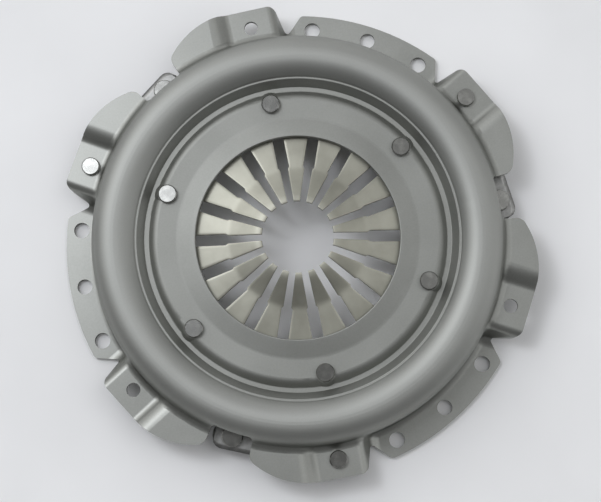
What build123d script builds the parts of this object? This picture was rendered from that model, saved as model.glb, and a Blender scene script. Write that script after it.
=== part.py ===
from build123d import *
from math import cos, degrees, hypot, radians, sin, tan
import os

# Clutch cover assembly with diaphragm spring, for a 200 mm friction disc.
# The shaft is the Z axis, z = 0 is the flange face that bolts to the flywheel,
# +Z points to the gearbox, and the first drive lug lies on +X.

# Layout around the shaft
friction_outer_r = 101.5
lug_count = 3
finger_count = 18
fulcrum_rivet_count = 6
boss_deg = 28.94

# Cover: bolting flange
sheet = 3.2
bolt_reach = 8.8
bolt_hole_d = 8.4
dowel_hole_d = 8.05
bolt_step_deg = 15.0
flange_edge = 7.9
flange_corner_deg = 18.0
flange_corner_r = 2.5

# Cover: strap bosses and raised lobes, in the frame of one boss
boss_reach = 8.5
boss_top = 20.0
boss_edge = 9.8
boss_hole_d = 7.4
boss_flat_in = 12.2
boss_flat_out = 14.0
boss_corner_r = 5.0
flange_ramp = 4.6
lobe_top = 24.2
lobe_ramp = 5.5
lobe_bend_r = 12.0
lobe_corner_share = 0.236
lobe_turn_deg = 48.0
lobe_round_share = 0.81
lobe_gap_deg = 6.0
lobe_end_r = 5.5
notch_out = 18.1
notch_drop = 14.8
notch_r = 1.5
bend_inside_r = 1.5
bend_outside_r = 5.0
ramp_bend_r = 6.0
foot_r = 4.0
gap_depth = 1.9
gap_corner_r = 2.0

# Cover: dome, flat ring and lip
wall_gap = 4.0
crest_top = 36.8
crest_outer_r = 11.0
crest_inner_r = 13.0
dome_slope_deg = 50.0
dome_width = 24.4
ledge_height = 1.4
ledge_width = 1.0
ledge_edge_r = 0.5
ledge_slope_deg = 52.0
ring_top = 29.8
ring_width = 20.8
lip_rise = 1.7
lip_bend_r = 8.0
lip_edge_r = 0.6
lip_width = 10.0

# Cover: pressed fulcrum bead under the flat ring
bead_depth = 2.6
bead_nose_half = 4.2
bead_seat_gap = 0.4
channel_depth = 3.2
channel_floor = 2.5
channel_wall_deg = 46.0
channel_shoulder_r = 4.0
channel_corner_r = 0.8
channel_foot_r = 0.4
pad_r = 5.2
pad_wall_deg = 60.0
pad_edge_r = 1.2
pad_foot_r = 0.5

# Shouldered fulcrum rivets and the wire ring that they carry
fulcrum_rivet_inset = 12.2
fulcrum_rivet_d = 6.4
fulcrum_head_d = 9.7
fulcrum_head_height = 3.0
fulcrum_shoulder_d = 8.8
fulcrum_flange_height = 1.8
ring_wire_d = 3.4
ring_joint_gap = 1.2

# Diaphragm spring
spring_sheet = 2.3
spring_edge = 2.5
spring_cone_deg = 12.5
finger_root_reach = 3.9
finger_deg = 6.5
finger_bend_r = 36.7
finger_tip_deg = 19.0
tip_crown_r = 24.5
tip_crown_deg = 4.0
finger_tip_r = 18.8
slot_outer_width = 6.0
slot_inner_width = 4.2
slot_tip_width = 3.4
slot_step_r = 1.2
tip_bend_r = 8.0
finger_turn_r = 16.0
root_turn_r = 30.0

# Pressure plate
friction_height = 4.8
friction_width = 37.5
plate_rim_height = 4.6
plate_rim_step = 1.5
plate_band_width = 10.0
ridge_inset = 4.5
ridge_width = 4.0
ridge_height = 2.6
ridge_gap = 9.0
ridge_gap_count = 12
plate_chamfer = 0.8
ridge_round_r = 1.6
lug_reach = 7.5
lug_edge = 6.3
lug_width = 17.0
lug_corner_r = 5.0
lug_root_r = 6.0
lug_step = 1.0

# Drive straps and their rivets
plate_lift = 3.6
strap_preload = 0.6
strap_leaf = 0.7
strap_leaf_count = 3
strap_width = 15.0
strap_end = 7.5
strap_tip = 10.5
strap_corner_r = 6.0
strap_flat = 16.0
strap_bend_r = 100.0
strap_rivet_d = 6.0
strap_head_d = 9.5
strap_head_height = 2.6
strap_tail_d = 10.0
strap_tail_height = 2.2
lug_rivet_d = 6.5
lug_head_d = 11.5
lug_head_height = 3.0
lug_tail_d = 10.0
lug_tail_height = 2.2
rivet_edge = 0.5

# Fits
rivet_fit = 0.1
root_clearance = 0.7
ring_clearance = 0.3
seat_clearance = 0.02
leaf_clearance = 0.02
ridge_clearance = 0.3
plate_clearance = 0.5
recess_clearance = 0.2

# Construction: how far cutting bodies reach past the piece, and how edges are told apart
spread = 20.0
below = 2.0
tolerance = 0.01
upright_share = 0.99

# Circles that follow from the friction face
friction_inner_r = friction_outer_r - friction_width
plate_band_outer_r = friction_outer_r - plate_rim_step
plate_band_inner_r = plate_band_outer_r - plate_band_width
ridge_r = plate_band_outer_r - ridge_inset
spring_outer_r = ridge_r + spring_edge
lug_rivet_circle_r = friction_outer_r + lug_reach
lug_outer_r = lug_rivet_circle_r + lug_edge
wall_r = friction_outer_r + wall_gap + sheet
gap_r = wall_r - gap_depth
bolt_circle_r = wall_r + bolt_reach
boss_circle_r = wall_r + boss_reach
flange_r = bolt_circle_r + flange_edge
boss_end = boss_circle_r + boss_edge
dome_foot_r = wall_r - dome_width
ring_inner_r = dome_foot_r - ring_width
cover_hole_r = ring_inner_r - lip_width
fulcrum_rivet_circle_r = dome_foot_r - fulcrum_rivet_inset
finger_root_r = fulcrum_rivet_circle_r + finger_root_reach

# Levels that follow from the sizes above
above = crest_top + spread
third = 360.0 / lug_count
boss_under = boss_top - sheet
ring_under = ring_top - sheet
fulcrum_r = fulcrum_rivet_circle_r + fulcrum_shoulder_d / 2 + ring_clearance + ring_wire_d / 2
bead_nose_r = (bead_nose_half**2 + bead_depth**2) / (2 * bead_depth)
bead_nose_z = ring_under - bead_depth + bead_nose_r
cone = radians(spring_cone_deg)
spring_top = bead_nose_z - bead_nose_r / cos(cone) - seat_clearance
spring_under = spring_top - spring_sheet / cos(cone)
ring_z = spring_under - (ring_wire_d / 2 + seat_clearance) / cos(cone)
fulcrum_flange_top = ring_z - ring_wire_d / 2 - seat_clearance
fulcrum_flange_bottom = fulcrum_flange_top - fulcrum_flange_height
ridge_top = spring_under - (ridge_r - fulcrum_r) * tan(cone) - ridge_clearance
plate_web_top = fulcrum_flange_bottom - plate_lift - plate_clearance
leaf_pitch = strap_leaf + leaf_clearance
strap_pack = strap_leaf_count * leaf_pitch
strap_drop = plate_lift + strap_preload
lug_top = boss_under - strap_pack - strap_drop
lug_bottom = friction_height + lug_step
fulcrum_rivet_deg = third / 4


def around(radius, angle, z=0.0):
    # Point at a radius and an angle about the shaft.
    return Vector(radius * cos(radians(angle)), radius * sin(radians(angle)), z)


def fulcrum_places():
    # Places of the fulcrum rivets: evenly spaced, the first one a quarter of the way to the next lug.
    step = 360.0 / fulcrum_rivet_count
    turns = [fulcrum_rivet_deg + step * count for count in range(fulcrum_rivet_count)]
    return [around(fulcrum_rivet_circle_r, turn) for turn in turns]


def sheet_line(points, radii, depth=0.0):
    # Line of a bent sheet at a depth under its top face, drawn with the top on the left.
    steps = [Vector(b) - Vector(a) for a, b in zip(points, points[1:])]
    ways = [step.normalized() for step in steps]
    rights = [Vector(way.Y, -way.X) for way in ways]
    shifted = [Vector(points[0]) + rights[0] * depth]
    bends = []
    for corner, radius in enumerate(radii):
        before = rights[corner]
        after = rights[corner + 1]
        shift = (before + after) * (depth / (1 + before.dot(after)))
        shifted.append(Vector(points[corner + 1]) + shift)
        turn = ways[corner].cross(ways[corner + 1]).Z
        grown = radius + depth if turn > 0 else radius - depth
        bends.append(max(grown, 0.0))
    shifted.append(Vector(points[-1]) + rights[-1] * depth)
    return FilletPolyline(*shifted, radius=bends)


def filled(line, *corners):
    # Face between a line and the corners that lead from its end back to its start.
    return make_face([line, Polyline(line @ 1, *corners, line @ 0)])


def bent_strip(points, radii, thickness):
    # Section of a bent sheet of even thickness.
    top = sheet_line(points, radii)
    bottom = sheet_line(points, radii, thickness)
    return make_face([top, bottom, Line(top @ 0, bottom @ 0), Line(top @ 1, bottom @ 1)])


def turned(section):
    # Solid of revolution of a section drawn as radius and height.
    return revolve(Plane.XZ * section, Axis.Z)


def in_thirds(shape):
    # One copy of a shape for each drive lug.
    return [Rot(0, 0, third * lug) * shape for lug in range(lug_count)]


def both_hands(shape):
    # A shape and its mirror image about the plane of the first lug.
    return [shape, mirror(shape, about=Plane.XZ)]


def pin(diameter, bottom, top):
    # Round bar on Z between two heights.
    return Pos(0, 0, bottom) * extrude(Circle(diameter / 2), top - bottom)


def rivet_head(diameter, bottom, top):
    # Flat rivet head with its outer rim eased.
    head = pin(diameter, bottom, top)
    return chamfer(head.edges().group_by(Axis.Z)[-1], rivet_edge)


def dome_points():
    # Top line of the dome from the lip to the foot of its wall.
    slope = tan(radians(dome_slope_deg))
    crest_inner = dome_foot_r + (crest_top - ring_top) / slope
    return [
        (cover_hole_r, ring_top + lip_rise),
        (ring_inner_r, ring_top),
        (dome_foot_r, ring_top),
        (crest_inner, crest_top),
        (wall_r, crest_top),
        (wall_r, -below),
    ]


def ledge_points():
    # Small ledge at the foot of the dome's inner slope, from its own foot outwards.
    ledge_end = dome_foot_r + ledge_height / tan(radians(dome_slope_deg))
    ledge_start = ledge_end - ledge_width
    ledge_foot = ledge_start - ledge_height / tan(radians(ledge_slope_deg))
    return [
        (ledge_foot, ring_top),
        (ledge_start, ring_top + ledge_height),
        (ledge_end, ring_top + ledge_height),
    ]


def dome_outside():
    # Dome filled down past the flange, with the edge of the lip eased.
    points = dome_points()
    line = sheet_line(
        [(cover_hole_r, -below)] + points[:2] + ledge_points() + points[3:],
        [lip_edge_r, lip_bend_r, 0, ledge_edge_r, ledge_edge_r, crest_inner_r, crest_outer_r],
    )
    return turned(filled(line))


def dome_inside():
    # Hollow under the dome.
    radii = [lip_bend_r, 0, crest_inner_r, crest_outer_r]
    line = sheet_line(dome_points(), radii, sheet)
    start = line @ 0
    return turned(filled(line, (0, -below - sheet), (0, start.Y)))


def skirt_points():
    # Top line across one boss: lobe, short ramp, boss, steep ramp, flange.
    return [
        (-wall_r, lobe_top),
        (-boss_flat_in - lobe_ramp, lobe_top),
        (-boss_flat_in, boss_top),
        (boss_flat_out, boss_top),
        (boss_flat_out + flange_ramp, sheet),
        (wall_r, sheet),
    ]


def skirt(depth, floor):
    # Everything under the skirt line at a depth, around the whole cover.
    convex = bend_inside_r + sheet
    line = sheet_line(skirt_points(), [lobe_bend_r, bend_outside_r, convex, ramp_bend_r], depth)
    end = line @ 1
    start = line @ 0
    section = filled(line, (end.X, floor), (start.X, floor))
    across = Plane((0, 0, 0), x_dir=around(1, boss_deg + 90), z_dir=around(1, boss_deg))
    reach = boss_end + spread
    run = extrude(across * section, reach)
    half = third / 2
    corners = [(0, 0), (2 * reach, 0), around(2 * reach, half / 2), around(2 * reach, half)]
    wedge = Pos(0, 0, -spread) * extrude(make_face(Polyline(*corners, close=True)), above)
    pieces = []
    for hand in both_hands(run & wedge):
        pieces += in_thirds(hand)
    return pieces


def with_foot(dome, skirts, radius, foot):
    # Dome and skirt in one, with a rolled corner where the wall meets the skirt.
    joined = dome + skirts
    lowest = sheet / 2
    corner = []
    for edge in joined.edges():
        middle = edge @ 0.5
        on_wall = abs(hypot(middle.X, middle.Y) - radius) < tolerance
        upright = abs((edge % 0.5).Z) > upright_share
        if on_wall and not upright and -lowest < middle.Z < lobe_top + lowest:
            corner.append(edge)
    return fillet(corner, foot)


def eased(outline, radius, at_radius):
    # Outline with the corners on one circle rounded.
    corners = outline.vertices()
    points = [corner for corner in corners if abs(hypot(corner.X, corner.Y) - at_radius) < tolerance]
    return fillet(points, radius)


def plan_outline():
    # Trimmed outline of the pressing seen along the shaft.
    inner = gap_r / 2
    turn = radians(lobe_turn_deg)
    side = tan(radians(boss_deg - lobe_gap_deg))
    lobe_corner = lobe_corner_share * boss_end
    run = (boss_end * side - lobe_corner) / (cos(turn) + sin(turn) * side)
    lobe_round_r = lobe_round_share * run / tan(turn / 2)
    lobe_line = FilletPolyline(
        (inner, -inner * side),
        (boss_end - run * sin(turn), -lobe_corner - run * cos(turn)),
        (boss_end, -lobe_corner),
        (boss_end, boss_flat_out),
        (boss_end - notch_drop, notch_out),
        (inner, notch_out),
        radius=[lobe_end_r, lobe_round_r, boss_corner_r, 0],
    )
    lobe = Rot(0, 0, boss_deg) * make_face([lobe_line, Line(lobe_line @ 1, lobe_line @ 0)])
    notch = around(1, boss_deg) * (boss_end - notch_drop) + around(1, boss_deg + 90) * notch_out
    corner = around(flange_r, third / 2 - flange_corner_deg)
    root = around(inner, third / 2 - flange_corner_deg)
    middle = around(flange_r + spread, third / 2)
    axis_point = around(inner, third / 2)
    half_flange = make_face(Polyline(root, notch, corner * 2 - notch, middle, axis_point, close=True))
    outline = Circle(gap_r)
    for shape in (lobe, half_flange & Circle(flange_r)):
        for hand in both_hands(shape):
            outline += in_thirds(hand)
    outline = eased(outline, notch_r, notch.length)
    outline = eased(outline, flange_corner_r, flange_r)
    return eased(outline, gap_corner_r, gap_r)


def at_fulcrum_rivets(shape):
    # One copy of a shape made for +X at every fulcrum rivet.
    step = 360.0 / fulcrum_rivet_count
    return [Rot(0, 0, fulcrum_rivet_deg + step * count) * shape for count in range(fulcrum_rivet_count)]


def rivet_pad(floor):
    # Round seat that the channel leaves around one fulcrum rivet, standing on the channel floor.
    foot = pad_r + channel_depth / tan(radians(pad_wall_deg))
    line = FilletPolyline(
        (0, ring_top),
        (pad_r, ring_top),
        (foot, floor),
        (foot + 4 * pad_foot_r, floor),
        radius=[pad_edge_r, pad_foot_r],
    )
    end = line @ 1
    low = floor - sheet
    return Pos(fulcrum_rivet_circle_r, 0, 0) * turned(filled(line, (end.X, low), (0, low)))


def bead_channel():
    # Channel pressed into the outside of the flat ring, whose outer wall goes on up to the ledge.
    outer = ledge_points()[0][0]
    floor = ring_top - channel_depth
    floor_outer = outer - channel_depth / tan(radians(ledge_slope_deg))
    floor_inner = floor_outer - channel_floor
    inner = floor_inner - channel_depth / tan(radians(channel_wall_deg))
    start = inner - channel_shoulder_r
    line = FilletPolyline(
        (start, ring_top),
        (inner, ring_top),
        (floor_inner, floor),
        (floor_outer, floor),
        (outer, ring_top),
        radius=[channel_shoulder_r, channel_corner_r, channel_foot_r],
    )
    top = ring_top + ledge_height / 2
    channel = turned(filled(line, (outer, top), (start, top)))
    return channel - at_fulcrum_rivets(rivet_pad(floor))


def bead_nose():
    # Rounded nose that the channel pushes out underneath, on which the spring tilts.
    start = (fulcrum_r - bead_nose_half, ring_under)
    end = (fulcrum_r + bead_nose_half, ring_under)
    arc = ThreePointArc(start, (fulcrum_r, ring_under - bead_depth), end)
    rise = sheet / 2
    back = Polyline(end, (end[0], ring_under + rise), (start[0], ring_under + rise), start)
    seat = pin(fulcrum_shoulder_d + 2 * bead_seat_gap, -below, ring_under)
    return turned(make_face([arc, back])) - at_fulcrum_rivets(Pos(fulcrum_rivet_circle_r, 0, 0) * seat)


def make_cover():
    outside = with_foot(dome_outside(), skirt(0.0, -below), wall_r, foot_r)
    inside = with_foot(dome_inside(), skirt(sheet, -below - sheet), wall_r - sheet, foot_r + sheet)
    trim = Pos(0, 0, -below) * extrude(plan_outline(), above)
    cover = (outside & trim) - inside
    cover += bead_nose()
    cover -= bead_channel()
    holes = []
    for lug in range(lug_count):
        at = third * lug
        for step, diameter in ((-1, bolt_hole_d), (0, dowel_hole_d), (1, bolt_hole_d)):
            place = around(bolt_circle_r, at + third / 2 + step * bolt_step_deg)
            holes.append(Pos(place) * pin(diameter, -below, above))
        holes.append(Pos(around(boss_circle_r, at - boss_deg)) * pin(boss_hole_d, -below, above))
        strap_hole = strap_rivet_d + 2 * rivet_fit
        holes.append(Pos(around(boss_circle_r, at + boss_deg)) * pin(strap_hole, -below, above))
    for place in fulcrum_rivet_places:
        holes.append(Pos(place) * pin(fulcrum_rivet_d + 2 * rivet_fit, -below, above))
    return cover - holes


def make_spring():
    # Coned ring with fingers that lean less, turn up near their tips and end in a low crown.
    root = spring_top + (fulcrum_r - finger_root_r) * tan(cone)
    bend = root + (finger_root_r - finger_bend_r) * tan(radians(finger_deg))
    crown = bend + (finger_bend_r - tip_crown_r) * tan(radians(finger_tip_deg))
    tip = crown + (tip_crown_r - finger_tip_r) * tan(radians(tip_crown_deg))
    rim = spring_top - (spring_outer_r - fulcrum_r) * tan(cone)
    points = [
        (finger_tip_r, tip),
        (tip_crown_r, crown),
        (finger_bend_r, bend),
        (finger_root_r, root),
        (spring_outer_r, rim),
    ]
    disc = turned(bent_strip(points, [tip_bend_r, finger_turn_r, root_turn_r], spring_sheet))
    shoulder = fulcrum_shoulder_d / 2 + root_clearance
    slot_line = Polyline(
        (0, slot_tip_width / 2),
        (finger_tip_r, slot_tip_width / 2),
        (finger_bend_r, slot_inner_width / 2),
        (finger_bend_r + slot_step_r, slot_outer_width / 2),
        (fulcrum_rivet_circle_r, slot_outer_width / 2),
        (fulcrum_rivet_circle_r, 0),
        (0, 0),
        close=True,
    )
    half_slot = make_face(slot_line)
    slot = half_slot + mirror(half_slot, about=Plane.XZ) + Pos(fulcrum_rivet_circle_r, 0) * Circle(shoulder)
    cutter = extrude(slot, above)
    step = 360.0 / finger_count
    return disc - [Rot(0, 0, step * (count + 0.5)) * cutter for count in range(finger_count)]


def make_fulcrum_ring():
    # Wire ring bent round with its two ends almost meeting.
    gap = degrees(ring_joint_gap / fulcrum_r)
    wire = Plane.XZ * (Pos(fulcrum_r, ring_z) * Circle(ring_wire_d / 2))
    return revolve(Rot(0, 0, gap / 2) * wire, Axis.Z, 360 - gap)


def make_fulcrum_rivet():
    # Shouldered rivet: flat head on the cover, shoulder through the spring, flange under the ring.
    reach = fulcrum_r + ring_wire_d / 2 - fulcrum_rivet_circle_r
    rivet = rivet_head(fulcrum_head_d, ring_top, ring_top + fulcrum_head_height)
    rivet += pin(fulcrum_rivet_d, ring_under, ring_top)
    rivet += pin(fulcrum_shoulder_d, fulcrum_flange_top, ring_under)
    return rivet + pin(2 * reach, fulcrum_flange_bottom, fulcrum_flange_top)


def make_plate():
    # Cast ring: flat friction face below, web under the rivets, band with the fulcrum ridge.
    band_top = ridge_top - ridge_height
    rim_top = friction_height + plate_rim_height
    section = make_face(
        FilletPolyline(
            (friction_inner_r, friction_height),
            (friction_outer_r, friction_height),
            (friction_outer_r, rim_top),
            (plate_band_outer_r, rim_top),
            (plate_band_outer_r, band_top),
            (plate_band_inner_r, band_top),
            (plate_band_inner_r - (band_top - plate_web_top) / 2, plate_web_top),
            (friction_inner_r, plate_web_top),
            radius=[0, 0, plate_chamfer, 0, plate_chamfer, plate_chamfer, plate_chamfer, plate_chamfer],
            close=True,
        )
    )
    plate = turned(section)
    ridge = make_face(
        FilletPolyline(
            (ridge_r - ridge_width / 2, band_top - ridge_height),
            (ridge_r - ridge_width / 2, ridge_top),
            (ridge_r + ridge_width / 2, ridge_top),
            (ridge_r + ridge_width / 2, band_top - ridge_height),
            radius=[0, ridge_round_r, ridge_round_r, 0],
            close=True,
        )
    )
    vent = Pos(ridge_r, 0, band_top) * Box(
        3 * ridge_width, ridge_gap, spread, align=(Align.CENTER, Align.CENTER, Align.MIN)
    )
    step = 360.0 / ridge_gap_count
    vents = [Rot(0, 0, step * (count + 0.5)) * vent for count in range(ridge_gap_count)]
    plate += turned(ridge) - vents
    lug_plan = lug_face()
    lug = Pos(0, 0, lug_bottom) * extrude(lug_plan, lug_top - lug_bottom)
    lug -= Pos(lug_rivet_circle_r, 0) * pin(lug_rivet_d + 2 * rivet_fit, 0, above)
    recess_top = lug_bottom + lug_tail_height + recess_clearance
    lug -= Pos(lug_rivet_circle_r, 0) * pin(lug_tail_d + 2 * recess_clearance, 0, recess_top)
    return plate + in_thirds(lug)


def lug_face():
    # Drive lug seen along the shaft, flared where it grows out of the ring.
    half = lug_width / 2
    inner = (plate_band_inner_r + plate_band_outer_r) / 2
    flare = half + lug_root_r
    root = (friction_outer_r**2 - flare**2) ** 0.5
    return make_face(
        FilletPolyline(
            (inner, flare),
            (root, flare),
            (root + lug_root_r, half),
            (lug_outer_r, half),
            (lug_outer_r, -half),
            (root + lug_root_r, -half),
            (root, -flare),
            (inner, -flare),
            radius=[0, 0, lug_root_r, lug_corner_r, lug_corner_r, lug_root_r, 0, 0],
            close=True,
        )
    )


def strap_frame():
    # Frame of the first strap: origin under its boss rivet, X towards its lug rivet.
    boss = around(boss_circle_r, boss_deg, boss_under)
    lug = around(lug_rivet_circle_r, 0, boss_under)
    return Plane(boss, x_dir=lug - boss, z_dir=(0, 0, 1)), (lug - boss).length


def make_leaf(level):
    # One leaf of a strap, set down towards the lug in a long S.
    frame, span = strap_frame()
    top = -level * leaf_pitch
    points = [
        (-strap_end - spread, top),
        (strap_flat, top),
        (span - strap_flat, top - strap_drop),
        (span + strap_tip + spread, top - strap_drop),
    ]
    section = Plane.XZ * bent_strip(points, [strap_bend_r, strap_bend_r], strap_leaf)
    strip = extrude(section, strap_width, both=True)
    length = strap_end + span + strap_tip
    plan = Pos(length / 2 - strap_end, 0) * RectangleRounded(length, strap_width, strap_corner_r)
    plan -= Circle(strap_rivet_d / 2 + rivet_fit)
    plan -= Pos(span, 0) * Circle(lug_rivet_d / 2 + rivet_fit)
    depth = strap_pack + strap_drop + spread
    return frame * (strip & Pos(0, 0, -depth) * extrude(plan, depth + spread))


def make_strap_rivet():
    # Rivet through a boss and the strap leaves under it.
    tail = boss_under - strap_pack
    rivet = rivet_head(strap_head_d, boss_top, boss_top + strap_head_height)
    rivet += pin(strap_rivet_d, tail, boss_top)
    rivet += pin(strap_tail_d, tail - strap_tail_height, tail)
    return Pos(around(boss_circle_r, boss_deg)) * rivet


def make_lug_rivet():
    # Rivet through the strap leaves and the lug, with its tail sunk in the lug.
    seat = lug_top + strap_pack
    tail = lug_bottom + lug_tail_height + recess_clearance
    rivet = rivet_head(lug_head_d, seat, seat + lug_head_height)
    rivet += pin(lug_rivet_d, tail, seat)
    rivet += pin(lug_tail_d, tail - lug_tail_height, tail)
    return Pos(around(lug_rivet_circle_r, 0)) * rivet


def save(name, shape):
    # One file for each piece.
    solids = shape.solids()
    export_step(solids[0] if len(solids) == 1 else Compound(solids), f"parts/{name}.step")


os.makedirs("parts", exist_ok=True)
fulcrum_rivet_places = fulcrum_places()
save("clutch_cover", make_cover())
save("diaphragm_spring", make_spring())
save("fulcrum_ring", make_fulcrum_ring())
save("pressure_plate", make_plate())
fulcrum_rivet = make_fulcrum_rivet()
for number, place in enumerate(fulcrum_rivet_places, start=1):
    save(f"fulcrum_rivet_{number}", Pos(place) * fulcrum_rivet)
for number, rivet in enumerate(in_thirds(make_strap_rivet()), start=1):
    save(f"strap_rivet_{number}", rivet)
for number, rivet in enumerate(in_thirds(make_lug_rivet()), start=1):
    save(f"lug_rivet_{number}", rivet)
for level, layer in enumerate(("upper", "middle", "lower")[:strap_leaf_count]):
    for number, leaf in enumerate(in_thirds(make_leaf(level)), start=1):
        save(f"drive_strap_{number}_{layer}", leaf)
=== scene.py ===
import math
import bmesh
import bpy
from mathutils import Matrix, Vector


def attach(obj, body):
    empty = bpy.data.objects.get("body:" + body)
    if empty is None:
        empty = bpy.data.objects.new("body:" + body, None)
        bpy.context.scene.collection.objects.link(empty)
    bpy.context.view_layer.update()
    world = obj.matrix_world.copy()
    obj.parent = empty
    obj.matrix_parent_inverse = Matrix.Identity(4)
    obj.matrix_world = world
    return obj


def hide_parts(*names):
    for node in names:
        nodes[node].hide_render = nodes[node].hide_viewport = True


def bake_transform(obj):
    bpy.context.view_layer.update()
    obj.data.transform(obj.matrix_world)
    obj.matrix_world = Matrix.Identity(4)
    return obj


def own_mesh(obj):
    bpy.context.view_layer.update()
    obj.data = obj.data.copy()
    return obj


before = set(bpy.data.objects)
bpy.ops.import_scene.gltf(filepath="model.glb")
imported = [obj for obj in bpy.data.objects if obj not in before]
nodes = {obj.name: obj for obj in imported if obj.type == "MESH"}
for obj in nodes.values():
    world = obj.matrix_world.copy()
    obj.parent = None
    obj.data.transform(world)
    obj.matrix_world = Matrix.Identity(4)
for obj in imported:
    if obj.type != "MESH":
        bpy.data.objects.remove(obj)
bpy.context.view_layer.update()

mm = 0.001
scene = bpy.context.scene
scene.view_settings.view_transform = "Standard"
print("frame loaded:", len(nodes), "nodes")


# small helpers

def hexColour(code):  # sRGB hex to linear RGBA
    channels = [int(code[i:i + 2], 16) / 255 for i in (0, 2, 4)]
    linear = [c / 12.92 if c <= 0.04045 else ((c + 0.055) / 1.055) ** 2.4 for c in channels]
    return (*linear, 1.0)


def addNode(tree, kind, settings=None, links=None):  # one node with its settings and incoming links
    node = tree.nodes.new(kind)
    for key, value in (settings or {}).items():
        if isinstance(key, str) and hasattr(node, key):
            setattr(node, key, value)
        else:
            node.inputs[key].default_value = value
    for key, source in (links or {}).items():
        tree.links.new(source, node.inputs[key])
    return node


def newMaterial(name):  # empty material with its shader and object coordinates
    material = bpy.data.materials.new(name)
    material.use_nodes = True
    tree = material.node_tree
    shader = tree.nodes["Principled BSDF"]
    place = addNode(tree, "ShaderNodeTexCoord")
    return material, tree, shader, place.outputs["Object"]


def perMetre(sizeMm):  # texture scale for a feature of this size
    return 1 / (sizeMm * mm)


def toPiece(name, mesh, material):  # bmesh to a finished object at the origin
    data = bpy.data.meshes.new(name)
    mesh.to_mesh(data)
    mesh.free()
    data.materials.append(material)
    piece = bpy.data.objects.new(name, data)
    scene.collection.objects.link(piece)
    return piece


def smooth(piece, angleDeg=35):  # smooth faces, sharp past this angle
    for polygon in piece.data.polygons:
        polygon.use_smooth = True
    for edge in piece.data.edges:
        edge.use_edge_sharp = False
    piece.data.set_sharp_from_angle(angle=math.radians(angleDeg))


def dress(node, material):  # new finish on a CAD node
    slots = nodes[node].data.materials
    slots.clear()
    slots.append(material)


# materials

# deep-drawn sheet, shot blasted: even satin grey with a fine peened grain,
# smoother low on the flange and a little lighter on the crest, where the lighter colour is a painted
# highlight
def blastedSteel():
    look = {
        "light": "959691",
        "dark": "868782",
        "crestHighlight": "a7a8a4",
        "blotchMm": 34,
        "grainMm": 0.9,  # grain and peening are coarser than real, to show
        "grainShare": 0.45,
        "toneFrom": 0.42,
        "peenMm": 1.6,
        "peenDeepMm": 0.05,
        "peenStrength": 0.12,
        "flangeMm": 24.0,  # heights between which it gets rougher
        "domeMm": 27.0,
        "flangeRough": 0.37,
        "domeRough": 0.5,
        "grainRough": 0.06,
        "lipMm": 31.0,  # heights between which the painted crest highlight comes in
        "crestMm": 32.5,
        "crestHighlightShare": 0.42,
    }
    material, tree, shader, place = newMaterial("shot blasted steel sheet")
    blotch = addNode(tree, "ShaderNodeTexNoise", {"Scale": perMetre(look["blotchMm"]), "Detail": 4},
                     {"Vector": place})
    grain = addNode(tree, "ShaderNodeTexNoise", {"Scale": perMetre(look["grainMm"]), "Detail": 2},
                    {"Vector": place})
    mixed = addNode(tree, "ShaderNodeMath", {"operation": "MULTIPLY_ADD", 1: look["grainShare"]},
                    {0: grain.outputs["Fac"], 2: blotch.outputs["Fac"]})
    tone = addNode(tree, "ShaderNodeValToRGB", None, {"Fac": mixed.outputs[0]})
    tone.color_ramp.elements[0].position = look["toneFrom"]
    tone.color_ramp.elements[0].color = hexColour(look["dark"])
    tone.color_ramp.elements[1].color = hexColour(look["light"])
    height = addNode(tree, "ShaderNodeSeparateXYZ", None, {"Vector": place})
    # painted highlight: a lighter colour mixed in by height stands in for light on the crest
    crestHighlight = addNode(tree, "ShaderNodeMapRange",
                     {"From Min": look["lipMm"] * mm, "From Max": look["crestMm"] * mm,
                      "To Max": look["crestHighlightShare"]},
                     {"Value": height.outputs["Z"]})
    skin = addNode(tree, "ShaderNodeMix", {"data_type": "RGBA", 7: hexColour(look["crestHighlight"])},
                   {0: crestHighlight.outputs["Result"], 6: tone.outputs["Color"]})
    satin = addNode(tree, "ShaderNodeMapRange",
                    {"From Min": look["flangeMm"] * mm, "From Max": look["domeMm"] * mm,
                     "To Min": look["flangeRough"], "To Max": look["domeRough"]},
                    {"Value": height.outputs["Z"]})
    rough = addNode(tree, "ShaderNodeMath", {"operation": "MULTIPLY_ADD", 1: look["grainRough"]},
                    {0: mixed.outputs[0], 2: satin.outputs["Result"]})
    peen = addNode(tree, "ShaderNodeTexNoise", {"Scale": perMetre(look["peenMm"]), "Detail": 3},
                   {"Vector": place})
    bump = addNode(tree, "ShaderNodeBump",
                   {"Strength": look["peenStrength"], "Distance": look["peenDeepMm"] * mm},
                   {"Height": peen.outputs["Fac"]})
    shader.inputs["Metallic"].default_value = 1.0
    tree.links.new(skin.outputs[2], shader.inputs["Base Color"])
    tree.links.new(rough.outputs[0], shader.inputs["Roughness"])
    tree.links.new(bump.outputs["Normal"], shader.inputs["Normal"])
    return material


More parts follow.
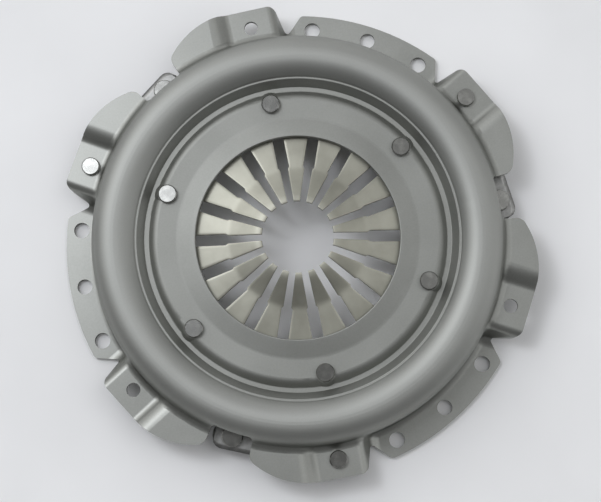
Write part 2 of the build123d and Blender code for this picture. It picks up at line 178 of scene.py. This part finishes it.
def springSteel():  # hardened strip, polished by tumbling: warm bright grey with soft clouds
    look = {
        "light": "a5a498",
        "dark": "8e8d82",
        "cloudMm": 16,
        "toneFrom": 0.3,
        "toneTo": 0.75,
        "roughFrom": 0.42,
        "roughTo": 0.49,
        "scratchMm": 0.7,
        "scratchDeepMm": 0.03,
        "scratchStrength": 0.06,
    }
    material, tree, shader, place = newMaterial("tumbled spring steel")
    cloud = addNode(tree, "ShaderNodeTexNoise", {"Scale": perMetre(look["cloudMm"]), "Detail": 5},
                    {"Vector": place})
    tone = addNode(tree, "ShaderNodeValToRGB", None, {"Fac": cloud.outputs["Fac"]})
    tone.color_ramp.elements[0].position = look["toneFrom"]
    tone.color_ramp.elements[0].color = hexColour(look["dark"])
    tone.color_ramp.elements[1].position = look["toneTo"]
    tone.color_ramp.elements[1].color = hexColour(look["light"])
    rough = addNode(tree, "ShaderNodeMapRange", {"To Min": look["roughFrom"], "To Max": look["roughTo"]},
                    {"Value": cloud.outputs["Fac"]})
    scratch = addNode(tree, "ShaderNodeTexNoise", {"Scale": perMetre(look["scratchMm"]), "Detail": 2},
                      {"Vector": place})
    bump = addNode(tree, "ShaderNodeBump",
                   {"Strength": look["scratchStrength"], "Distance": look["scratchDeepMm"] * mm},
                   {"Height": scratch.outputs["Fac"]})
    shader.inputs["Metallic"].default_value = 1.0
    tree.links.new(tone.outputs["Color"], shader.inputs["Base Color"])
    tree.links.new(rough.outputs["Result"], shader.inputs["Roughness"])
    tree.links.new(bump.outputs["Normal"], shader.inputs["Normal"])
    return material


def rivetSteel():  # cold headed rivet: smooth oiled steel, so each head mirrors a small part of the room
    look = {
        "light": "9a9a95",
        "dark": "7f7f7b",
        "rubMm": 3.5,
        "toneFrom": 0.45,
        "toneTo": 0.8,
        "rough": 0.19,
        "rubDeepMm": 0.04,
        "rubStrength": 0.15,
    }
    material, tree, shader, place = newMaterial("cold headed rivet steel")
    rub = addNode(tree, "ShaderNodeTexNoise", {"Scale": perMetre(look["rubMm"]), "Detail": 4},
                  {"Vector": place})
    tone = addNode(tree, "ShaderNodeValToRGB", None, {"Fac": rub.outputs["Fac"]})
    tone.color_ramp.elements[0].position = look["toneFrom"]
    tone.color_ramp.elements[0].color = hexColour(look["dark"])
    tone.color_ramp.elements[1].position = look["toneTo"]
    tone.color_ramp.elements[1].color = hexColour(look["light"])
    bump = addNode(tree, "ShaderNodeBump",
                   {"Strength": look["rubStrength"], "Distance": look["rubDeepMm"] * mm},
                   {"Height": rub.outputs["Fac"]})
    shader.inputs["Metallic"].default_value = 1.0
    shader.inputs["Roughness"].default_value = look["rough"]
    tree.links.new(tone.outputs["Color"], shader.inputs["Base Color"])
    tree.links.new(bump.outputs["Normal"], shader.inputs["Normal"])
    return material


# sand cast grey iron: dull dark grey with a pebbled skin,
# and below it a friction face turned bright in fine rings
def greyIron():
    look = {
        "light": "6b6b71",
        "dark": "4f4f53",
        "turned": "8f9092",
        "metal": 0.8,
        "sandMm": 1.4,
        "toneFrom": 0.3,
        "toneTo": 0.7,
        "ringMm": 2.2,  # turning rings, coarser than real, to show
        "ringWobble": 0.5,
        "faceMm": 5.0,  # height below which the face is turned
        "castRough": 0.55,
        "turnedRough": 0.34,
        "reliefMm": 0.12,
        "reliefStrength": 0.3,
    }
    material, tree, shader, place = newMaterial("sand cast grey iron")
    sand = addNode(tree, "ShaderNodeTexNoise", {"Scale": perMetre(look["sandMm"]), "Detail": 5},
                   {"Vector": place})
    tone = addNode(tree, "ShaderNodeValToRGB", None, {"Fac": sand.outputs["Fac"]})
    tone.color_ramp.elements[0].position = look["toneFrom"]
    tone.color_ramp.elements[0].color = hexColour(look["dark"])
    tone.color_ramp.elements[1].position = look["toneTo"]
    tone.color_ramp.elements[1].color = hexColour(look["light"])
    height = addNode(tree, "ShaderNodeSeparateXYZ", None, {"Vector": place})
    face = addNode(tree, "ShaderNodeMath", {"operation": "LESS_THAN", 1: look["faceMm"] * mm},
                   {0: height.outputs["Z"]}).outputs[0]
    rings = addNode(tree, "ShaderNodeTexWave",
                    {"wave_type": "RINGS", "rings_direction": "Z", "Distortion": look["ringWobble"],
                     "Detail": 1, "Scale": math.pi / (10 * look["ringMm"] * mm)},
                    {"Vector": place})
    skin = addNode(tree, "ShaderNodeMix", {"data_type": "RGBA", 7: hexColour(look["turned"])},
                   {0: face, 6: tone.outputs["Color"]})
    relief = addNode(tree, "ShaderNodeMix", None,
                     {0: face, 2: sand.outputs["Fac"], 3: rings.outputs["Fac"]})
    rough = addNode(tree, "ShaderNodeMapRange",
                    {"To Min": look["castRough"], "To Max": look["turnedRough"]}, {"Value": face})
    bump = addNode(tree, "ShaderNodeBump",
                   {"Strength": look["reliefStrength"], "Distance": look["reliefMm"] * mm},
                   {"Height": relief.outputs[0]})
    shader.inputs["Metallic"].default_value = look["metal"]
    tree.links.new(skin.outputs[2], shader.inputs["Base Color"])
    tree.links.new(rough.outputs["Result"], shader.inputs["Roughness"])
    tree.links.new(bump.outputs["Normal"], shader.inputs["Normal"])
    return material


def strapSteel():  # cold rolled spring strip: grey with faint blotches
    look = {
        "light": "969693",
        "dark": "7f7f7c",
        "blotchMm": 2.2,
        "toneFrom": 0.3,
        "toneTo": 0.7,
        "rough": 0.36,
    }
    material, tree, shader, place = newMaterial("cold rolled spring strip")
    blotch = addNode(tree, "ShaderNodeTexNoise", {"Scale": perMetre(look["blotchMm"]), "Detail": 3},
                     {"Vector": place})
    tone = addNode(tree, "ShaderNodeValToRGB", None, {"Fac": blotch.outputs["Fac"]})
    tone.color_ramp.elements[0].position = look["toneFrom"]
    tone.color_ramp.elements[0].color = hexColour(look["dark"])
    tone.color_ramp.elements[1].position = look["toneTo"]
    tone.color_ramp.elements[1].color = hexColour(look["light"])
    shader.inputs["Metallic"].default_value = 1.0
    shader.inputs["Roughness"].default_value = look["rough"]
    tree.links.new(tone.outputs["Color"], shader.inputs["Base Color"])
    return material


def drawnWire():  # drawn steel wire, plain grey with a slight oil sheen
    look = {"light": "80807e", "dark": "676765", "spotMm": 4, "rough": 0.32}
    material, tree, shader, place = newMaterial("drawn steel wire")
    spot = addNode(tree, "ShaderNodeTexNoise", {"Scale": perMetre(look["spotMm"]), "Detail": 3},
                   {"Vector": place})
    tone = addNode(tree, "ShaderNodeValToRGB", None, {"Fac": spot.outputs["Fac"]})
    tone.color_ramp.elements[0].color = hexColour(look["dark"])
    tone.color_ramp.elements[1].color = hexColour(look["light"])
    shader.inputs["Metallic"].default_value = 1.0
    shader.inputs["Roughness"].default_value = look["rough"]
    tree.links.new(tone.outputs["Color"], shader.inputs["Base Color"])
    return material


def palePaper():  # matt white board under the part
    look = {
        "light": "f0f0ef",
        "dark": "eaeae9",
        "cloudMm": 120,
        "toneFrom": 0.35,
        "toneTo": 0.65,
        "rough": 0.8,
    }
    material, tree, shader, place = newMaterial("pale board")
    cloud = addNode(tree, "ShaderNodeTexNoise", {"Scale": perMetre(look["cloudMm"]), "Detail": 3},
                    {"Vector": place})
    tone = addNode(tree, "ShaderNodeValToRGB", None, {"Fac": cloud.outputs["Fac"]})
    tone.color_ramp.elements[0].position = look["toneFrom"]
    tone.color_ramp.elements[0].color = hexColour(look["dark"])
    tone.color_ramp.elements[1].position = look["toneTo"]
    tone.color_ramp.elements[1].color = hexColour(look["light"])
    shader.inputs["Roughness"].default_value = look["rough"]
    tree.links.new(tone.outputs["Color"], shader.inputs["Base Color"])
    return material


coverFinish = blastedSteel()
springFinish = springSteel()
rivetFinish = rivetSteel()
ironFinish = greyIron()
strapFinish = strapSteel()
wireFinish = drawnWire()
print("materials made")

# finishes of the CAD nodes that stay
dress("clutch_cover", coverFinish)
dress("pressure_plate", ironFinish)
dress("fulcrum_ring", wireFinish)
for node in nodes:
    if "rivet" in node:
        dress(node, rivetFinish)


# diaphragm spring: one thin coned disc with slots, thickened by a modifier

springShape = {  # millimetres and degrees
    "fingers": 18,
    "sheet": 2.3,
    "outerR": 98.0,
    "fulcrumR": 78.5,
    "fulcrumTop": 23.866,  # height of the top face at the fulcrum
    "ringDeg": 12.5,
    "rootR": 76.0,
    "fingerDeg": 6.5,
    "bendR": 36.7,
    "tipDeg": 19.0,
    "crownR": 21.6,
    "crownDeg": 4.0,
    "tipR": 18.8,
    "ease": 3.5,  # length over which a bend turns
    "holeR": 72.1,
    "holeHalf": 5.1,
    "slotOuter": 3.0,  # half widths of a slot
    "slotInner": 2.1,
    "slotTip": 1.7,
    "slotStep": 1.2,
    "ringRows": (92, 86, 81),  # radii of rows of points
    "fingerRows": (66, 63, 60, 56, 52, 48, 44, 41),
    "holeSteps": 16,  # rows over the half turn of a hole, of which the first ones are kept
    "holeKept": 14,
    "tipSteps": 16,
    "across": 8,
    "walk": 0.05,
    "weld": 0.02,
    "edge": 0.35,
    "edgeDeg": 50,
    "sharpDeg": 40,
    "keep": 0.04,  # share of the cone's height left at full lift
}


def springSlope(r):  # lean of the spring at a radius, rising towards the shaft
    s = springShape
    lean = s["ringDeg"]
    for bendR, before, after in ((s["rootR"], s["ringDeg"], s["fingerDeg"]),
                                 (s["bendR"], s["fingerDeg"], s["tipDeg"]),
                                 (s["crownR"], s["tipDeg"], s["crownDeg"])):
        t = min(max((bendR - r) / s["ease"] + 0.5, 0), 1)
        lean += (after - before) * t * t * (3 - 2 * t)
    return math.tan(math.radians(lean))


def slotHalf(r):  # half width of the slot at a radius
    s = springShape
    if r > s["holeR"] + s["holeHalf"]:
        return 0.0
    hole = math.sqrt(max(s["holeHalf"] ** 2 - (r - s["holeR"]) ** 2, 0))
    if r > s["holeR"]:
        return hole
    if r > s["bendR"]:
        step = min((r - s["bendR"]) / s["slotStep"], 1)
        return max(hole, s["slotInner"] + (s["slotOuter"] - s["slotInner"]) * step)
    run = (r - s["tipR"]) / (s["bendR"] - s["tipR"])
    return s["slotTip"] + (s["slotInner"] - s["slotTip"]) * run


def springStations():  # radii of the rows of points, closer where the outline turns
    s = springShape
    radii = [s["outerR"], *s["ringRows"], *s["fingerRows"]]
    radii += [s["holeR"] + s["holeHalf"] * math.cos(math.pi * k / s["holeSteps"])
              for k in range(s["holeKept"])]
    radii += [s["bendR"] + 2 * s["slotStep"], s["bendR"] + s["slotStep"], s["bendR"]]
    radii += [s["bendR"] - (s["bendR"] - s["tipR"]) * k / s["tipSteps"]
              for k in range(1, s["tipSteps"] + 1)]
    return sorted(set(radii), reverse=True)


def springHeights(radii):  # height of the top face at each row
    s = springShape
    heights = {}
    z = s["fulcrumTop"]
    r = s["fulcrumR"]
    wanted = [x for x in radii if x <= r]
    while r > s["tipR"] - s["walk"]:  # walk in from the fulcrum
        while wanted and r <= wanted[0] + s["walk"]:
            heights[wanted.pop(0)] = z
        z += springSlope(r) * s["walk"]
        r -= s["walk"]
    for x in radii:
        if x > s["fulcrumR"]:
            heights[x] = s["fulcrumTop"] - (x - s["fulcrumR"]) * springSlope(x)
    return heights


def makeSpring():
    s = springShape
    radii = springStations()
    heights = springHeights(radii)
    mesh = bmesh.new()
    bmesh.ops.create_grid(mesh, x_segments=len(radii) - 1, y_segments=s["across"], size=1)
    pitch = math.pi / s["fingers"]
    for vert in mesh.verts:
        r = radii[round((vert.co.x + 1) / 2 * (len(radii) - 1))]
        turn = vert.co.y * (pitch - math.asin(slotHalf(r) / r))
        drop = s["sheet"] / 2 * math.sqrt(1 + springSlope(r) ** 2)
        vert.co = Vector((r * math.cos(turn), r * math.sin(turn), heights[r] - drop)) * mm
    copies = s["fingers"] - 1
    bmesh.ops.spin(mesh, geom=mesh.verts[:] + mesh.edges[:] + mesh.faces[:], axis=(0, 0, 1), cent=(0, 0, 0),
                   steps=copies, angle=2 * math.pi * copies / s["fingers"], use_duplicate=True)
    bmesh.ops.remove_doubles(mesh, verts=mesh.verts[:], dist=s["weld"] * mm)
    bmesh.ops.recalc_face_normals(mesh, faces=mesh.faces[:])
    piece = toPiece("diaphragmSpring", mesh, springFinish)
    smooth(piece, s["sharpDeg"])
    wall = piece.modifiers.new("sheet", "SOLIDIFY")
    wall.thickness = s["sheet"] * mm
    wall.offset = 0
    edge = piece.modifiers.new("edge", "BEVEL")
    edge.width = s["edge"] * mm
    edge.segments = 2
    edge.limit_method = "ANGLE"
    edge.angle_limit = math.radians(s["edgeDeg"])
    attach(piece, "cover")
    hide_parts("diaphragm_spring")
    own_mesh(piece)


makeSpring()
print("diaphragm spring made")


# drive straps: leaves from a boss of the cover down to a lug of the plate

strapShape = {  # millimetres and degrees
    "sets": 3,
    "layers": ("upper", "middle", "lower"),
    "bossR": 117.2,
    "bossDeg": 28.94,
    "lugR": 109.0,
    "top": 16.8,
    "leaf": 0.7,
    "pitch": 0.72,
    "drop": 4.2,
    "flat": 8.0,
    "width": 15.0,
    "end": 7.5,  # past the boss rivet
    "tip": 10.5,  # past the lug rivet
    "cornerR": 6.0,
    "along": 60,
    "across": 6,
}


def makeLeaf(name, node, turnDeg, level):
    s = strapShape
    bossTurn = math.radians(s["bossDeg"])
    boss = Vector((s["bossR"] * math.cos(bossTurn), s["bossR"] * math.sin(bossTurn), 0))
    along = Vector((s["lugR"], 0, 0)) - boss
    span = along.length
    along.normalize()
    side = Vector((-along.y, along.x, 0))
    mesh = bmesh.new()
    bmesh.ops.create_grid(mesh, x_segments=s["along"], y_segments=s["across"], size=1)
    for vert in mesh.verts:
        run = (vert.co.x + 1) / 2 * (s["end"] + span + s["tip"]) - s["end"]
        nearEnd = min(run + s["end"], span + s["tip"] - run)
        cut = max(s["cornerR"] - nearEnd, 0)
        half = s["width"] / 2 - s["cornerR"] + math.sqrt(max(s["cornerR"] ** 2 - cut ** 2, 0))
        t = min(max((run - s["flat"]) / (span - 2 * s["flat"]), 0), 1)
        z = s["top"] - (level + 0.5) * s["pitch"] - s["drop"] * t * t * (3 - 2 * t)
        vert.co = (boss + along * run + side * half * vert.co.y + Vector((0, 0, z))) * mm
    turn = Matrix.Rotation(math.radians(turnDeg), 4, "Z")
    bmesh.ops.transform(mesh, matrix=turn, verts=mesh.verts[:])
    bmesh.ops.recalc_face_normals(mesh, faces=mesh.faces[:])
    piece = toPiece(name, mesh, strapFinish)
    smooth(piece)
    wall = piece.modifiers.new("sheet", "SOLIDIFY")
    wall.thickness = s["leaf"] * mm
    wall.offset = 0
    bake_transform(piece)
    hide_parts(node)


for number in range(1, strapShape["sets"] + 1):
    turnDeg = 360 / strapShape["sets"] * (number - 1)
    for level, layer in enumerate(strapShape["layers"]):
        makeLeaf(f"strap{number}{layer.capitalize()}", f"drive_strap_{number}_{layer}", turnDeg, level)
print("drive straps made")


# board, light and camera

studio = {  # metres
    "turnDeg": 11.43,  # the picture's right edge lies this far clockwise of the first lug
    "floorHalf": 8.0,
    "floorDrop": 0.0001,
    "lampTint": "f4f7ff",  # daylight, a little cool
    "skyTint": "fbfcff",
    "fill": 0.25,  # even light from the whole room
}
toModel = Matrix.Rotation(-math.radians(studio["turnDeg"]), 4, "Z")

floorMesh = bmesh.new()
bmesh.ops.create_grid(floorMesh, x_segments=1, y_segments=1, size=studio["floorHalf"])
bmesh.ops.translate(floorMesh, vec=(0, 0, -studio["floorDrop"]), verts=floorMesh.verts[:])
board = toPiece("board", floorMesh, palePaper())

lamps = {  # small soft lamps, upper left in the picture, metres
    "keyLamp": {"place": (-0.44, 0.27, 1.0), "size": 0.24, "watts": 2.0},
    "topLamp": {"place": (-0.23, 0.18, 1.0), "size": 0.26, "watts": 0.8},
}
for name, lamp in lamps.items():
    data = bpy.data.lights.new(name, "AREA")
    data.size = lamp["size"]
    data.energy = lamp["watts"]
    data.color = hexColour(studio["lampTint"])[:3]
    light = bpy.data.objects.new(name, data)
    scene.collection.objects.link(light)
    place = toModel @ Vector(lamp["place"])
    light.matrix_world = Matrix.Translation(place) @ (-place).to_track_quat("-Z", "Y").to_matrix().to_4x4()

# four wide soft boxes in the world: degrees from straight up,
# degrees around from the picture's right, half width in degrees, and strength
softBoxes = {
    "window": {"polarDeg": 45, "aroundDeg": 150, "halfDeg": 35, "strength": 1.8},
    "overhead": {"polarDeg": 25, "aroundDeg": 20, "halfDeg": 25, "strength": 1.5},
    "rightWall": {"polarDeg": 70, "aroundDeg": 0, "halfDeg": 35, "strength": 1.0},
    "backWall": {"polarDeg": 85, "aroundDeg": 90, "halfDeg": 60, "strength": 0.8},
}
world = bpy.data.worlds.new("studioWorld")
scene.world = world
world.use_nodes = True
tree = world.node_tree
sky = addNode(tree, "ShaderNodeTexCoord")
total = None
for box in softBoxes.values():
    polar = math.radians(box["polarDeg"])
    around = math.radians(box["aroundDeg"])
    way = Vector((math.sin(polar) * math.cos(around), math.sin(polar) * math.sin(around), math.cos(polar)))
    facing = addNode(tree, "ShaderNodeVectorMath", {"operation": "DOT_PRODUCT", 1: toModel.to_3x3() @ way},
                     {0: sky.outputs["Generated"]})
    glow = addNode(tree, "ShaderNodeMapRange",
                   {"interpolation_type": "SMOOTHSTEP", "To Max": box["strength"],
                    "From Min": math.cos(math.radians(box["halfDeg"]))},
                   {"Value": facing.outputs["Value"]}).outputs["Result"]
    parts = {1: glow} if total is None else {0: total, 1: glow}  # the first box is added to the fill
    total = addNode(tree, "ShaderNodeMath", {0: studio["fill"]}, parts).outputs[0]
background = tree.nodes["Background"]
background.inputs["Color"].default_value = hexColour(studio["skyTint"])
tree.links.new(total, background.inputs["Strength"])

cameraView = {  # lens and sensor in millimetres, the rest in metres
    "lens": 99.7,
    "sensor": 36,
    "near": 0.05,
    "far": 20,
    "distance": 0.900,
    "target": (0.0009, -0.0037, 0.0),
    "leanRightDeg": 0.97,
    "leanDownDeg": 6.57,
}
leanRight = math.tan(math.radians(cameraView["leanRightDeg"]))
leanDown = math.tan(math.radians(cameraView["leanDownDeg"]))
target = Vector(cameraView["target"])
eye = target + Vector((leanRight, -leanDown, 1)).normalized() * cameraView["distance"]
back = (eye - target).normalized()
right = Vector((0, 1, 0)).cross(back).normalized()
up = back.cross(right)
pose = Matrix((right, up, back)).transposed().to_4x4()
pose.translation = eye
cameraData = bpy.data.cameras.new("camera")
cameraData.lens = cameraView["lens"]
cameraData.sensor_width = cameraView["sensor"]
cameraData.clip_start = cameraView["near"]
cameraData.clip_end = cameraView["far"]
camera = bpy.data.objects.new("camera", cameraData)
scene.collection.objects.link(camera)
camera.matrix_world = toModel @ pose
scene.camera = camera
print("stage, lights and camera set")
